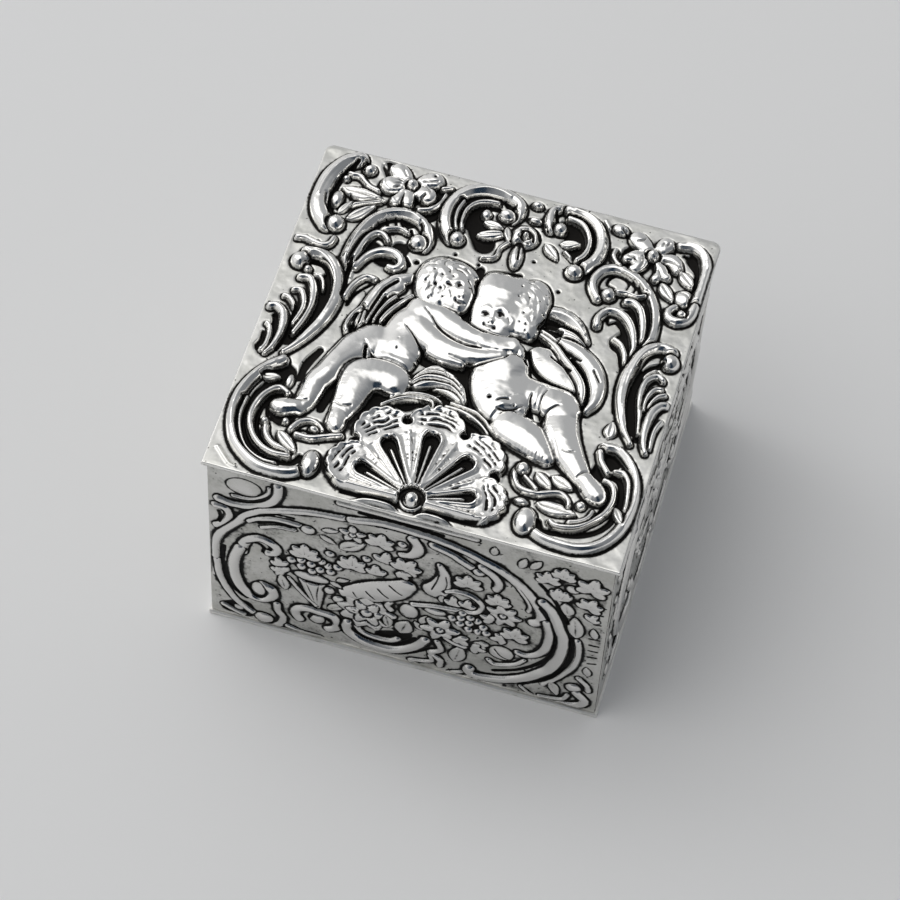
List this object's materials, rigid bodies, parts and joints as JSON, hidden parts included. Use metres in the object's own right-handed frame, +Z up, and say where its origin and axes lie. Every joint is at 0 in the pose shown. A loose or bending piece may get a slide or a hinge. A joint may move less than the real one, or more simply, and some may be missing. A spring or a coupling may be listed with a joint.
{
  "type": "hinged silver trinket box",
  "caption": "Small square sheet-metal box with raised scrollwork sides and a flat lid in high relief, hinged along the back.",
  "frame": {"origin": "middle of the base plate's underside, on which the box stands", "axes": "+Z up, the front wall faces -Y, the hinge runs along X at the top of the back wall"},
  "size_m": [0.05, 0.049, 0.0363],
  "materials": {
    "chased_silver": "polished, dark in the recesses",
    "plain_silver": "satin"
  },
  "bodies": {
    "box": {"base_plate": "plain_silver", "front_wall": "chased_silver", "back_wall": "chased_silver", "left_wall": "chased_silver", "right_wall": "chased_silver", "hinge_bearer": "plain_silver", "hinge_knuckle_body_1": "plain_silver", "hinge_knuckle_body_2": "plain_silver", "hinge_knuckle_body_3": "plain_silver", "hinge_pin": "plain_silver"},
    "lid": {"lid_cover": "chased_silver", "lid_lining": "plain_silver", "lid_rim_front": "plain_silver", "lid_rim_left": "plain_silver", "lid_rim_right": "plain_silver", "hinge_knuckle_lid_1": "plain_silver", "hinge_knuckle_lid_2": "plain_silver"}
  },
  "joints": [
    {"name": "lid_hinge", "type": "hinge", "parent": "box", "child": "lid", "pos_m": [0, 0.0236, 0.0324], "axis": [-1, 0, 0], "range_deg": [0, 110]}
  ]
}
